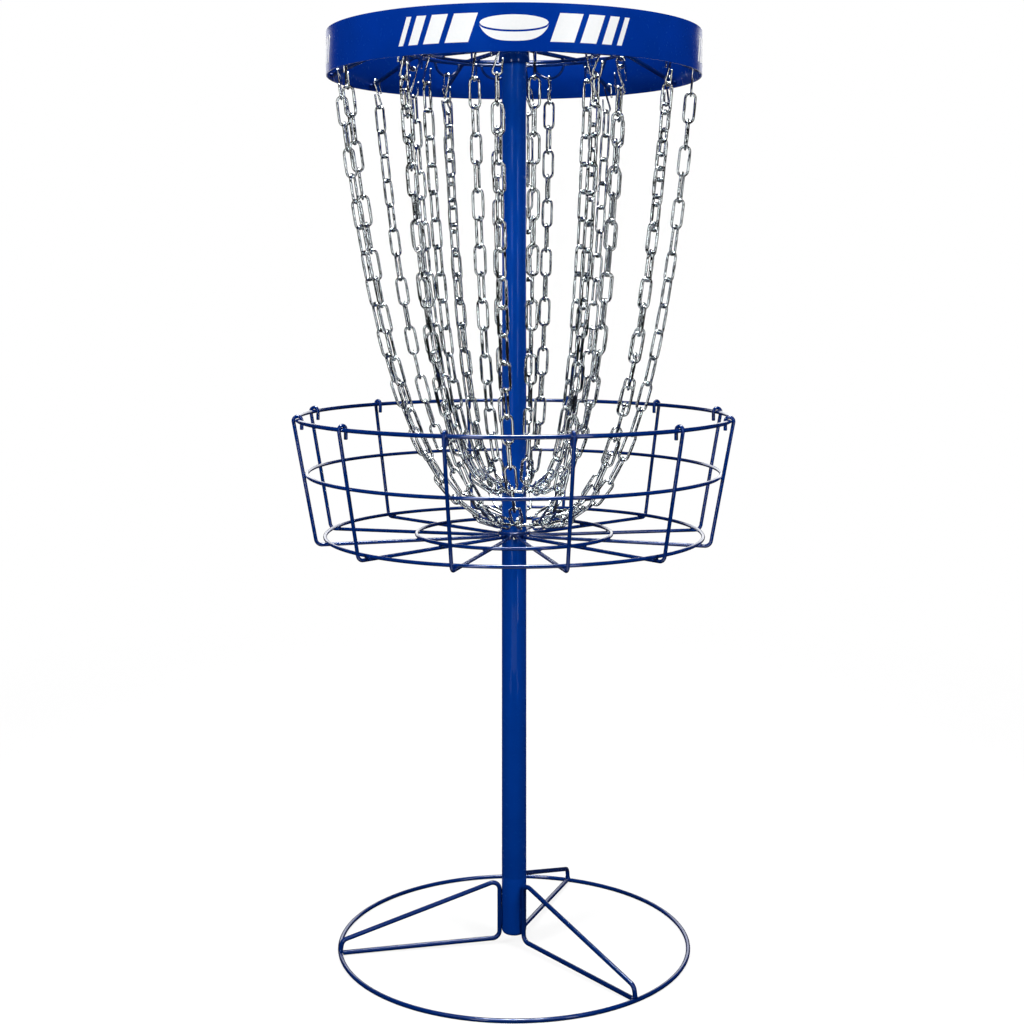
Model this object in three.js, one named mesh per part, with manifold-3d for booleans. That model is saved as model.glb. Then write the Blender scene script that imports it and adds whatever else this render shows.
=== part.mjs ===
// Portable disc golf basket: a wire base, a two-piece pole, a wire catching basket,
// a target band and two tiers of chain strands.
//
// Millimetres, +Z up. The origin is on the floor, on the pole's axis. Angles are measured round
// the pole from the front, which is -Y, towards the right, which is +X.

import * as THREE from 'three';
import { mergeVertices } from 'three/addons/utils/BufferGeometryUtils.js';
import Module from 'manifold-3d';

const manifold = await Module();
manifold.setup();

// ---- Driving dimensions ---------------------------------------------------------------------

const WELD_GAP = 0.3;            // every welded or resting contact is left this far open
const SLIP_GAP = 0.3;            // radial clearance where one piece slides or turns in another

const POLE_RADIUS = 19.05;       // 1.5 inch steel tube
const POLE_WALL = 2;
const SPIGOT_RADIUS = POLE_RADIUS - POLE_WALL - SLIP_GAP;
const SPIGOT_LENGTH = 85;        // how far the pole sections plug into each other
const SPIGOT_WALL = 2;
const NECK_DEPTH = 8;            // the drawn-down wall starts this far below the shoulder
const NECK_SLOPE = 6;            // and its inside slopes over this height
const SOCKET_BOTTOM = 17;
const SOCKET_TOP = 105;
const LOWER_POLE_TOP = 652;

const POLE_SIDES = 24;           // facets of each kind of round shape
const RING_SEGMENTS = 48;
const RING_WIRE_SIDES = 8;
const CHAIN_RING_SEGMENTS = 24;
const ROD_SIDES = 6;
const PIN_SIDES = 16;
const BEND_STEPS = 3;

const BASE_RING_RADIUS = 268.9;
const BASE_WIRE = 7;
const LEG_ANGLES = [40, 160, 280];
const LEG_TOP = 100;             // height where a leg leaves the socket
const LEG_OUTER_HEIGHT = 23;     // height of the sloping rod's corner above the base ring
const LEG_OUTER_INSET = 3;       // how far that corner is inside the base ring's centre line
const LEG_FOOT_HEIGHT = 4.2;     // height of the low rod's end inside the base ring
const LEG_HEEL_HEIGHT = 10.2;    // height of the low rod's corner at the socket
const LEG_BEND = 9;

const RIB_COUNT = 12;
const RIB_FIRST_ANGLE = 13.8;
const RIB_WIRE = 5.6;
const RIM_RADIUS = 335.6;
const RIM_HEIGHT = 819;
const RIM_WIRE = 6.4;
const MID_RADIUS = 319.4;
const MID_HEIGHT = 733.6;
const FLOOR_OUTER_RADIUS = 291.9;
const FLOOR_INNER_RADIUS = 151.3;
const BASKET_WIRE = 5.6;
const RIB_CORNER_RADIUS = 306.5;  // where a rib turns from the wall into the floor
const RIB_CORNER_BEND = 10;
const RIB_TAIL = 14;             // how far the hooked end hangs down inside the rim

const HUB_RING_RADIUS = 23.2;    // the innermost floor ring, loose round the pole
const HUB_RING_HEIGHT = 639;
const FLOOR_SLOPE = 0.0082;      // how much the floor drops outwards from the hub ring
const RIB_END_RADIUS = 24;       // where a rib ends under the hub ring, clear of the snap button

const BUTTON_RADIUS = 3.5;
const BUTTON_REACH = 4.5;        // how far the button stands out of the pole
const BUTTON_FLANGE_RADIUS = 5.5;
const BUTTON_FLANGE = 2;
const BUTTON_FLANGE_FRONT = 14.5;
const BUTTON_HEIGHT = HUB_RING_HEIGHT - BASKET_WIRE / 2 - WELD_GAP - BUTTON_RADIUS;

const SPRING_LENGTH = 60;        // from the button's axis down to the spring's fold
const SPRING_RISE = 4;           // and from there up to its ends
const SPRING_WIDTH = 8;
const SPRING_STRIP = 0.8;
const SPRING_FOLD = 1;           // half the width of the flat fold
const SPRING_PLAY = 1;           // left between the back leg and the tube at full travel

const BAND_RADIUS = 290.6;
const BAND_WALL = 1.5;
const BAND_BOTTOM = 1344.5;
const BAND_TOP = 1412;

const SPOKE_COUNT = 12;
const SPOKE_FIRST_ANGLE = 25;
const SPOKE_WIRE = 7;
const SPOKE_HEIGHT = 1393;
const SPOKE_KNEE_RADIUS = 200;   // where a spoke starts to slope down to the band
const SPOKE_END_HEIGHT = 1353;
const SPOKE_END_RADIUS = 286;    // the sloping end's corner comes to the band's inside
const SPOKE_BEND = 12;
const SPOKE_ROOT = 1.5;          // how deep a spoke's inner end is sunk into the hub
const SUPPORT_HUB_RADIUS = 24;
const SUPPORT_HUB_BOTTOM = 1367;
const SUPPORT_HUB_TOP = 1402;
const UPPER_POLE_TOP = 1404;
const CAP_HEIGHT = 4;

const SPOKE_RING_RADIUS = 139;   // the smaller of the two rings welded under the spokes
const HOOK_RING_RADIUS = 172;
const SUPPORT_RING_WIRE = 5;
const SUPPORT_RING_HEIGHT = SPOKE_HEIGHT - SPOKE_WIRE / 2 - SUPPORT_RING_WIRE / 2 - WELD_GAP;
const LOOP_WIRE = 4;             // each half-round loop under the hook ring holds one inner strand
const LOOP_HALF_WIDTH = 25;
const LOOP_DEPTH = 22;
const LOOP_STEPS = 4;            // sections from the bottom of a loop to its end

const CHAIN_RING_RADIUS = 40;
const CHAIN_RING_WIRE = 5;
const STRAND_RADIUS = 4;         // a solid bar of the same mass per metre as the chain
const STRAND_END_GAP = 5.5;      // from a wire's centre line to the strand solid's end
const STRAND_STEPS = 13;

// The two tiers of strands. Each tier ends on a loose ring that rests against the pole's left
// side, so the ring's centre is off the pole's axis by its shift.
const OUTER_TIER = {
  name: 'outer', count: 12, firstAngle: SPOKE_FIRST_ANGLE, hookRadius: 277, length: 776,
  ringHeight: 655.5, ringShift: 14,
};
const INNER_TIER = {
  name: 'inner', count: 12, firstAngle: SPOKE_FIRST_ANGLE - 180 / SPOKE_COUNT,
  hookRadius: HOOK_RING_RADIUS, length: 689, ringHeight: 706.5, ringShift: 7,
};

// ---- Materials ------------------------------------------------------------------------------

const bluePaint = new THREE.MeshStandardMaterial({ color: 0x0a3588, roughness: 0.25, metalness: 0.1 });
const bandPaint = new THREE.MeshStandardMaterial({ color: 0x003aa5, roughness: 0.3, metalness: 0.1 });
const zinc = new THREE.MeshStandardMaterial({ color: 0xc9ced2, roughness: 0.25, metalness: 1 });
const blackPlastic = new THREE.MeshStandardMaterial({ color: 0x101114, roughness: 0.5, metalness: 0 });

// ---- Shape helpers --------------------------------------------------------------------------

const radians = THREE.MathUtils.degToRad;

// A point at a radius from the pole's axis, an angle round it and a height.
function around(radius, angle, height) {
  const turn = radians(angle);
  return new THREE.Vector3(radius * Math.sin(turn), -radius * Math.cos(turn), height);
}

// A closed outline of [radius, height] points turned round the pole's axis. The first corner of
// each facet lies at startAngle.
function turned(outline, segments, startAngle = 0) {
  const profile = outline.map(([radius, height]) => new THREE.Vector2(radius, height));
  profile.push(profile[0].clone());
  const geometry = new THREE.LatheGeometry(profile, segments, radians(startAngle));
  return geometry.rotateX(Math.PI / 2);
}

// A ring of round wire with a flat facet on its underside.
function wireRing(radius, height, wire, segments, startAngle) {
  const outline = [];
  for (let side = 0; side < RING_WIRE_SIDES; side += 1) {
    const turn = (2 * Math.PI * (side + 0.5)) / RING_WIRE_SIDES;
    outline.push([radius + (wire / 2) * Math.cos(turn), height + (wire / 2) * Math.sin(turn)]);
  }
  return turned(outline, segments, startAngle);
}

// A plain round tube standing on the pole's axis.
function tube(outerRadius, innerRadius, bottom, top, segments = POLE_SIDES) {
  const outline = [
    [innerRadius, bottom], [outerRadius, bottom], [outerRadius, top], [innerRadius, top],
  ];
  return turned(outline, segments);
}

// A curve that visits each of its points in turn, so a rod gets one section at each of them.
class RodPath extends THREE.Curve {
  constructor(points) {
    super();
    this.points = points;
  }

  getPoint(t) {
    const place = t * (this.points.length - 1);
    const index = Math.min(Math.floor(place), this.points.length - 2);
    return this.points[index].clone().lerp(this.points[index + 1], place - index);
  }

  getPointAt(t) {
    return this.getPoint(t);
  }

  getTangentAt(t) {
    return this.getTangent(t);
  }
}

// A round section for a rod, as a regular polygon.
function roundSection(radius) {
  const corners = [];
  for (let side = 0; side < ROD_SIDES; side += 1) {
    const turn = (2 * Math.PI * side) / ROD_SIDES;
    corners.push(new THREE.Vector2(radius * Math.cos(turn), radius * Math.sin(turn)));
  }
  return new THREE.Shape(corners);
}

// A rod of round wire through the points.
function rod(points, radius) {
  return new THREE.ExtrudeGeometry(roundSection(radius), {
    steps: points.length - 1, bevelEnabled: false, curveSegments: 1, extrudePath: new RodPath(points),
  });
}

// The same points with each inner corner rounded over a distance on either side of it.
function withBends(points, reach, steps = BEND_STEPS) {
  const bent = [points[0]];
  for (let index = 1; index < points.length - 1; index += 1) {
    const corner = points[index];
    const before = points[index - 1].clone().sub(corner).setLength(reach).add(corner);
    const after = points[index + 1].clone().sub(corner).setLength(reach).add(corner);
    const bend = new THREE.QuadraticBezierCurve3(before, corner, after);
    bent.push(...bend.getPoints(steps));
  }
  bent.push(points[points.length - 1]);
  return bent;
}

const MERGE_DISTANCE = 1e-4;     // corners closer than this are one corner

// A closed geometry as a manifold solid, and back.
function toSolid(geometry) {
  const bare = geometry.clone();
  bare.deleteAttribute('normal');
  bare.deleteAttribute('uv');
  const merged = mergeVertices(bare, MERGE_DISTANCE);
  return new manifold.Manifold(new manifold.Mesh({
    numProp: 3,
    vertProperties: new Float32Array(merged.attributes.position.array),
    triVerts: new Uint32Array(merged.index.array),
  }));
}

function toGeometry(solid) {
  const mesh = solid.getMesh();
  const geometry = new THREE.BufferGeometry();
  geometry.setAttribute('position', new THREE.BufferAttribute(mesh.vertProperties, 3));
  geometry.setIndex(new THREE.BufferAttribute(mesh.triVerts, 1));
  return geometry;
}

function piece(name, geometry, material) {
  const mesh = new THREE.Mesh(geometry, material);
  mesh.name = name;
  return mesh;
}

// ---- Base -----------------------------------------------------------------------------------

// A tube whose upper end is drawn down to a spigot that the next section slips over.
function poleSection(bottom, shoulder) {
  const bore = POLE_RADIUS - POLE_WALL;
  const spigotBore = SPIGOT_RADIUS - SPIGOT_WALL;
  const tip = shoulder + SPIGOT_LENGTH;
  const neck = shoulder - NECK_DEPTH;
  return turned([
    [bore, bottom], [POLE_RADIUS, bottom], [POLE_RADIUS, shoulder], [SPIGOT_RADIUS, shoulder],
    [SPIGOT_RADIUS, tip], [spigotBore, tip], [spigotBore, neck], [bore, neck - NECK_SLOPE],
  ], POLE_SIDES);
}

// One bent rod: from the base ring in to the foot of the socket, up along the socket, and back
// out and down to a short riser that stands on the base ring.
function baseLeg(angle) {
  const half = BASE_WIRE / 2;
  const along = POLE_RADIUS + half + WELD_GAP;
  const ringInside = BASE_RING_RADIUS - half - WELD_GAP;
  const route = [
    around(ringInside, angle, LEG_FOOT_HEIGHT),
    around(along, angle, LEG_HEEL_HEIGHT),
    around(along, angle, LEG_TOP),
    around(BASE_RING_RADIUS - LEG_OUTER_INSET, angle, LEG_OUTER_HEIGHT),
    around(BASE_RING_RADIUS, angle, BASE_WIRE + WELD_GAP),
  ];
  return rod(withBends(route, LEG_BEND), half);
}

function baseBody() {
  const body = new THREE.Group();
  const ringHeight = (BASE_WIRE / 2) * Math.cos(Math.PI / RING_WIRE_SIDES);
  body.add(piece(
    'base_ring', wireRing(BASE_RING_RADIUS, ringHeight, BASE_WIRE, RING_SEGMENTS, 0), bluePaint,
  ));
  LEG_ANGLES.forEach((angle, index) => {
    body.add(piece(`base_leg_${index + 1}`, baseLeg(angle), bluePaint));
  });
  body.add(piece('base_socket', poleSection(SOCKET_BOTTOM, SOCKET_TOP), bluePaint));
  return body;
}

// ---- Pole -----------------------------------------------------------------------------------

// A cylinder at the button's height, between two distances in front of the pole's axis.
function frontPin(radius, near, far) {
  const pin = new THREE.CylinderGeometry(radius, radius, far - near, PIN_SIDES);
  return pin.translate(0, -(near + far) / 2, BUTTON_HEIGHT);
}

// The lower pole, with the button's hole through its front wall.
function lowerPole() {
  const hole = frontPin(BUTTON_RADIUS + SLIP_GAP, 0, POLE_RADIUS + BUTTON_REACH);
  const section = poleSection(SOCKET_TOP + WELD_GAP, LOWER_POLE_TOP);
  return toGeometry(toSolid(section).subtract(toSolid(hole)));
}

// A pin with a flange inside the pole that keeps it from falling out.
function snapButton() {
  const flangeBack = BUTTON_FLANGE_FRONT - BUTTON_FLANGE;
  const flange = frontPin(BUTTON_FLANGE_RADIUS, flangeBack, BUTTON_FLANGE_FRONT);
  const pin = frontPin(BUTTON_RADIUS, flangeBack + BUTTON_FLANGE / 2, POLE_RADIUS + BUTTON_REACH);
  return toGeometry(toSolid(flange).add(toSolid(pin)));
}

// The leaf spring behind the button: a narrow strip folded into a V that stands on its fold. Its
// back leg is drawn clear of the tube's far wall by the button's travel.
function buttonSpring() {
  const front = BUTTON_FLANGE_FRONT - BUTTON_FLANGE - WELD_GAP;
  const back = POLE_RADIUS - POLE_WALL - BUTTON_REACH - SPRING_PLAY;
  const fold = BUTTON_HEIGHT - SPRING_LENGTH;
  const top = BUTTON_HEIGHT + SPRING_RISE;
  const corners = [
    [-front, top], [-SPRING_FOLD, fold], [SPRING_FOLD, fold], [back, top],
    [back - SPRING_STRIP, top], [0, fold + 3 * SPRING_STRIP], [SPRING_STRIP - front, top],
  ];
  const outline = new THREE.Shape(corners.map(([along, height]) => new THREE.Vector2(along, height)));
  const strip = new THREE.ExtrudeGeometry(outline, { depth: SPRING_WIDTH, bevelEnabled: false });
  return strip.rotateX(Math.PI / 2).rotateZ(Math.PI / 2).translate(-SPRING_WIDTH / 2, 0, 0);
}

function lowerPoleBody() {
  const body = new THREE.Group();
  body.add(piece('lower_pole', lowerPole(), bluePaint));
  body.add(piece('snap_button', snapButton(), zinc));
  body.add(piece('button_spring', buttonSpring(), zinc));
  return body;
}

// ---- Catching basket ------------------------------------------------------------------------

// The height of a floor ring's centre line at a radius.
function floorHeight(radius) {
  return HUB_RING_HEIGHT - FLOOR_SLOPE * (radius - HUB_RING_RADIUS);
}

// One rib: hooked over the rim, down outside the rings, round the lower corner and in under the
// hub ring.
function basketRib(angle) {
  const half = RIB_WIRE / 2;
  const outside = half + WELD_GAP;
  const rimOutside = RIM_RADIUS + RIM_WIRE / 2 + outside;
  const rimTop = RIM_HEIGHT + RIM_WIRE / 2 + outside;
  const tailRadius = RIM_RADIUS - RIM_WIRE / 2 - outside;
  const underRings = BASKET_WIRE / 2 + outside;
  const hook = [];
  const hookSteps = 4;
  const hookRadius = (rimOutside - tailRadius) / 2;
  for (let step = 0; step <= hookSteps; step += 1) {
    const turn = (Math.PI * step) / hookSteps;
    const lift = (rimTop - RIM_HEIGHT) * Math.sin(turn);
    hook.push(around(RIM_RADIUS - hookRadius * Math.cos(turn), angle, RIM_HEIGHT + lift));
  }
  const corner = withBends([
    hook[hookSteps],
    around(RIB_CORNER_RADIUS, angle, floorHeight(RIB_CORNER_RADIUS) - underRings),
    around(RIB_END_RADIUS, angle, floorHeight(RIB_END_RADIUS) - underRings),
  ], RIB_CORNER_BEND).slice(1);
  return rod([around(tailRadius, angle, RIM_HEIGHT - RIB_TAIL), ...hook, ...corner], half);
}

function basketBody() {
  const body = new THREE.Group();
  const rings = [
    ['rim_ring', RIM_RADIUS, RIM_HEIGHT, RIM_WIRE],
    ['middle_ring', MID_RADIUS, MID_HEIGHT, BASKET_WIRE],
    ['floor_outer_ring', FLOOR_OUTER_RADIUS, floorHeight(FLOOR_OUTER_RADIUS), BASKET_WIRE],
    ['floor_inner_ring', FLOOR_INNER_RADIUS, floorHeight(FLOOR_INNER_RADIUS), BASKET_WIRE],
    ['basket_hub', HUB_RING_RADIUS, HUB_RING_HEIGHT, BASKET_WIRE],
  ];
  for (const [name, radius, height, wire] of rings) {
    body.add(piece(name, wireRing(radius, height, wire, RING_SEGMENTS, RIB_FIRST_ANGLE), bluePaint));
  }
  for (let index = 0; index < RIB_COUNT; index += 1) {
    const angle = RIB_FIRST_ANGLE + (360 * index) / RIB_COUNT;
    body.add(piece(`basket_rib_${index + 1}`, basketRib(angle), bluePaint));
  }
  return body;
}

// ---- Mast: upper pole, band and chain support -----------------------------------------------

// A collar round the pole with spokes that run out level and then slope down to the band.
function chainSupport() {
  const bore = POLE_RADIUS + WELD_GAP;
  let solid = toSolid(tube(SUPPORT_HUB_RADIUS, bore, SUPPORT_HUB_BOTTOM, SUPPORT_HUB_TOP));
  for (let index = 0; index < SPOKE_COUNT; index += 1) {
    const angle = SPOKE_FIRST_ANGLE + (360 * index) / SPOKE_COUNT;
    const route = [
      around(SUPPORT_HUB_RADIUS - SPOKE_ROOT, angle, SPOKE_HEIGHT),
      around(SPOKE_KNEE_RADIUS, angle, SPOKE_HEIGHT),
      around(SPOKE_END_RADIUS, angle, SPOKE_END_HEIGHT),
    ];
    solid = solid.add(toSolid(rod(withBends(route, SPOKE_BEND), SPOKE_WIRE / 2)));
  }
  return toGeometry(solid);
}

// A level wire ring welded under the spokes.
function supportRing(radius) {
  return wireRing(
    radius, SUPPORT_RING_HEIGHT, SUPPORT_RING_WIRE, RING_SEGMENTS, SPOKE_FIRST_ANGLE,
  );
}

// The larger support ring, with a half-round loop hanging half-way between each pair of spokes.
function hookRing() {
  const loopAngle = (180 * LOOP_HALF_WIDTH) / (Math.PI * HOOK_RING_RADIUS);
  let solid = toSolid(supportRing(HOOK_RING_RADIUS));
  for (let index = 0; index < SPOKE_COUNT; index += 1) {
    const middle = INNER_TIER.firstAngle + (360 * index) / SPOKE_COUNT;
    const points = [];
    for (let step = -LOOP_STEPS; step <= LOOP_STEPS; step += 1) {
      const turn = (Math.PI * step) / (2 * LOOP_STEPS);
      const height = SUPPORT_RING_HEIGHT - LOOP_DEPTH * Math.cos(turn);
      points.push(around(HOOK_RING_RADIUS, middle + loopAngle * Math.sin(turn), height));
    }
    solid = solid.add(toSolid(rod(points, LOOP_WIRE / 2)));
  }
  return toGeometry(solid);
}

// ---- Chain strands --------------------------------------------------------------------------

const CATENARY_SCALES = [1, 1e5]; // the curve's scale lies between these
const CATENARY_PASSES = 80;       // halvings of that span

// The points of a hanging chain of a given length between two points, from the upper one down.
// It is a catenary in the upright plane through both ends.
function hangingPoints(upper, lower, length, steps) {
  const span = Math.hypot(upper.x - lower.x, upper.y - lower.y);
  const drop = upper.z - lower.z;
  const slack = Math.sqrt(length * length - drop * drop);
  let [scale, above] = CATENARY_SCALES;
  for (let pass = 0; pass < CATENARY_PASSES; pass += 1) {
    const middle = (scale + above) / 2;
    if (2 * middle * Math.sinh(span / (2 * middle)) > slack) scale = middle;
    else above = middle;
  }
  const tilt = scale * Math.asinh(drop / (2 * scale * Math.sinh(span / (2 * scale))));
  const vertex = span / 2 - tilt;
  const startArc = scale * Math.sinh(-vertex / scale);
  const points = [];
  for (let step = steps; step >= 0; step -= 1) {
    const arc = startArc + (length * step) / steps;
    const out = vertex + scale * Math.asinh(arc / scale);
    const height = lower.z + scale * (Math.cosh((out - vertex) / scale) - Math.cosh(vertex / scale));
    const share = out / span;
    points.push(new THREE.Vector3(
      lower.x + (upper.x - lower.x) * share, lower.y + (upper.y - lower.y) * share, height,
    ));
  }
  return points;
}

// The height of a spoke's centre line at a radius out on its slope.
function spokeHeight(radius) {
  const share = (radius - SPOKE_KNEE_RADIUS) / (SPOKE_END_RADIUS - SPOKE_KNEE_RADIUS);
  return SPOKE_HEIGHT + (SPOKE_END_HEIGHT - SPOKE_HEIGHT) * share;
}

// One strand as a smooth bar: its hook end is just under the wire that it hangs on, its lower end
// just above the loose ring.
function chainStrand(tier, index) {
  const angle = tier.firstAngle + (360 * index) / tier.count;
  const loopHeight = SUPPORT_RING_HEIGHT - LOOP_DEPTH;
  const hookHeight = tier === OUTER_TIER ? spokeHeight(tier.hookRadius) : loopHeight;
  const upper = around(tier.hookRadius, angle, hookHeight);
  const lower = around(CHAIN_RING_RADIUS, angle, tier.ringHeight);
  lower.x += tier.ringShift;
  const points = hangingPoints(upper, lower, tier.length, STRAND_STEPS);
  const last = points.length - 1;
  points[0] = points[1].clone().sub(upper).setLength(STRAND_END_GAP).add(upper);
  points[last] = points[last - 1].clone().sub(lower).setLength(STRAND_END_GAP).add(lower);
  return rod(points, STRAND_RADIUS);
}

function chainRing(tier) {
  const ring = wireRing(
    CHAIN_RING_RADIUS, tier.ringHeight, CHAIN_RING_WIRE, CHAIN_RING_SEGMENTS, tier.firstAngle,
  );
  return ring.translate(tier.ringShift, 0, 0);
}

function mastBody() {
  const body = new THREE.Group();
  const poleBottom = LOWER_POLE_TOP + WELD_GAP;
  const pole = tube(POLE_RADIUS, POLE_RADIUS - POLE_WALL, poleBottom, UPPER_POLE_TOP);
  const cap = new THREE.CylinderGeometry(POLE_RADIUS, POLE_RADIUS, CAP_HEIGHT, POLE_SIDES);
  cap.rotateX(Math.PI / 2).translate(0, 0, UPPER_POLE_TOP + WELD_GAP + CAP_HEIGHT / 2);
  body.add(piece('upper_pole', pole, bluePaint));
  body.add(piece('pole_cap', cap, blackPlastic));
  body.add(piece('chain_support', chainSupport(), bluePaint));
  body.add(piece('spoke_ring', supportRing(SPOKE_RING_RADIUS), bluePaint));
  body.add(piece('hook_ring', hookRing(), bluePaint));
  body.add(piece(
    'target_band', tube(BAND_RADIUS, BAND_RADIUS - BAND_WALL, BAND_BOTTOM, BAND_TOP, RING_SEGMENTS),
    bandPaint,
  ));
  for (const tier of [OUTER_TIER, INNER_TIER]) {
    body.add(piece(`${tier.name}_chain_ring`, chainRing(tier), zinc));
    for (let index = 0; index < tier.count; index += 1) {
      body.add(piece(`${tier.name}_strand_${index + 1}`, chainStrand(tier, index), zinc));
    }
  }
  return body;
}

// ---- Whole object ---------------------------------------------------------------------------

const basket = new THREE.Group();
basket.add(baseBody(), lowerPoleBody(), basketBody(), mastBody());

export default basket;
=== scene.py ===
"""The looks of a portable disc golf basket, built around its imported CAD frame.

Metres, +Z up. The pole stands on the Z axis and -Y is the front. Angles are in degrees, measured
round the pole from the front towards +X.
"""

import math
import random

import bpy
from mathutils import Matrix, Quaternion, Vector


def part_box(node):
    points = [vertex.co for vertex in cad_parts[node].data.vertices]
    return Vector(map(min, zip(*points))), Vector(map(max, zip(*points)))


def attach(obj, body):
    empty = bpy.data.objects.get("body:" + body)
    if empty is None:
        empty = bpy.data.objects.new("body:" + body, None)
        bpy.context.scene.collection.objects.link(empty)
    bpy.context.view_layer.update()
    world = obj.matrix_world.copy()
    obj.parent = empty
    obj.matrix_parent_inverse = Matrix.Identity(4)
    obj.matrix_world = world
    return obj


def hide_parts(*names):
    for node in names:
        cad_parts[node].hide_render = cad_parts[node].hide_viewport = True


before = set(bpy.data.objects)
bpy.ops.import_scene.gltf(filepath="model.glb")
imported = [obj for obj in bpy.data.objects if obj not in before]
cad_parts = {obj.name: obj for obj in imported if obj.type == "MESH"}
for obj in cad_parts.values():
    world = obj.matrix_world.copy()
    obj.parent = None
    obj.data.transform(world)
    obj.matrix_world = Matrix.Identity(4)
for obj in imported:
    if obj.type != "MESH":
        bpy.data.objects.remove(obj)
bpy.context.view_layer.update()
random.seed(12)

# ---- Driving dimensions, as in the CAD model, and the studio's ----

UP = Vector((0, 0, 1))
GAP = 0.0003                     # between pieces that touch or are welded
RING_SEGMENTS = 192
BAND_SEGMENTS = 256
ON_AXIS = 1e-5                   # a radius that closes a turned shape on the axis
CUT_LENGTH = 0.14                # the rounding of a wire's cut end, in wire diameters
CUT_NARROWING = 0.72
CATENARY_SCALES = (0.001, 100.0)    # a hanging chain's scale lies between these
CATENARY_PASSES = 80             # halvings of that span
SINH_LIMIT = 600                 # well below where the hyperbolic sine overflows
NOISE_SPAN = (0.3, 0.7)          # the noise that colours and roughnesses are spread over

# Pole, with the snap button and its spring
POLE_RADIUS = 0.01905
POLE_WALL = 0.002
SPIGOT_RADIUS = 0.01675
SPIGOT_LENGTH = 0.085
SOCKET_TOP = 0.105
SOCKET_FOOT = 0.006              # the round at the socket tube's lower edge
SOCKET_FOOT_TURNS = (0, 0.4, 0.8, 1.2, math.pi / 2)
SOCKET_LIP = 0.004               # the foot's turned-in lip
SOCKET_LIP_EDGE = 0.0005
SOCKET_NECK = (0.010, 0.014)     # below its top, where the narrowed bore ends and starts
LOWER_POLE_TOP = 0.652
LOWER_POLE_NECK = (0.008, 0.014)
LOWER_POLE_ROUND = 0.0012
CAP_CROWN = (                    # radius, and depth below the cap's top
    (ON_AXIS, 0), (0.010, 0.0002), (0.015, 0.0009), (0.018, 0.002), (POLE_RADIUS, 0.0034),
)
CAP_SKIRT = 0.012                # how far the cap reaches into the pole
CAP_SKIRT_WALL = 0.0015
CAP_SEGMENTS = 64
BUTTON_SIDES = 32
BUTTON_RADIUS = 0.0035
BUTTON_HOLE = 0.0038
DRILL_LENGTH = 0.01
BUTTON_DOME = (                  # radius, and depth behind the button's front
    (0, 0), (0.0012, 0.0001), (0.0023, 0.0006), (0.0031, 0.0015), (BUTTON_RADIUS, 0.0028),
)
FLANGE_RADIUS = 0.0055
FLANGE_THICKNESS = 0.002
FLANGE_EDGE = 0.0002
SPRING_FOLD = 0.003              # the fold's height over the spring's lower edge
SPRING_BEND = 0.0025
SPRING_HALF_WIDTH = 0.004
SPRING_HALF_THICKNESS = 0.0003

# Base
BASE_RING_RADIUS = 0.2689
BASE_WIRE = 0.007
BASE_RING_WIRE = BASE_WIRE * math.cos(math.pi / 8)    # as high as the CAD's eight-sided bar
LEG_ANGLES = (40, 160, 280)
LEG_TOP = 0.100
LEG_OUTER_HEIGHT = 0.023
LEG_OUTER_INSET = 0.003
LEG_BEND = 0.011
LEG_LOW = 0.6                    # height of a leg's inner end, in wire diameters
LEG_RISE = 0.006                 # how much the leg rises from there to the socket

# Catching basket
RIB_COUNT = 12
RIB_FIRST_ANGLE = 13.8
RIB_WIRE = 0.0056
BASKET_WIRE = 0.0056
RIM_WIRE = 0.0064
RIM_RADIUS = 0.3356
RIM_HEIGHT = 0.819
MID_RADIUS = 0.3194
MID_HEIGHT = 0.7336
FLOOR_OUTER_RADIUS = 0.2919
FLOOR_INNER_RADIUS = 0.1513
RIB_CORNER_RADIUS = 0.3065
RIB_CORNER_BEND = 0.010
RIB_TAIL = 0.014
HUB_RING_RADIUS = 0.0232
HUB_RING_HEIGHT = 0.639
FLOOR_SLOPE = 0.0082
RIB_END_RADIUS = 0.024
RIB_LOOP_STEPS = 12
RIB_ROOT_WELD_RADIUS = 0.025

# Target band and chain support
BAND_RADIUS = 0.2906
BAND_WALL = 0.0015
SPOKE_COUNT = 12
SPOKE_FIRST_ANGLE = 25
SPOKE_WIRE = 0.007
SPOKE_HEIGHT = 1.393
SPOKE_KNEE_RADIUS = 0.200
SPOKE_END_RADIUS = 0.286
SPOKE_END_HEIGHT = 1.353
SPOKE_BEND = 0.03
SPOKE_ROOT = 0.0015              # how deep a spoke's inner end is sunk into the hub
SUPPORT_HUB_RADIUS = 0.024
SUPPORT_HUB_LENGTH = 0.035
SPOKE_RING_RADIUS = 0.139
HOOK_RING_RADIUS = 0.172
SUPPORT_RING_WIRE = 0.005
SUPPORT_RING_HEIGHT = SPOKE_HEIGHT - SPOKE_WIRE / 2 - SUPPORT_RING_WIRE / 2 - GAP
LOOP_WIRE = 0.004
LOOP_HALF_WIDTH = 0.025
LOOP_DEPTH = 0.022
LOOP_STEPS = 10                  # sections from the bottom of a loop to its end

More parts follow.
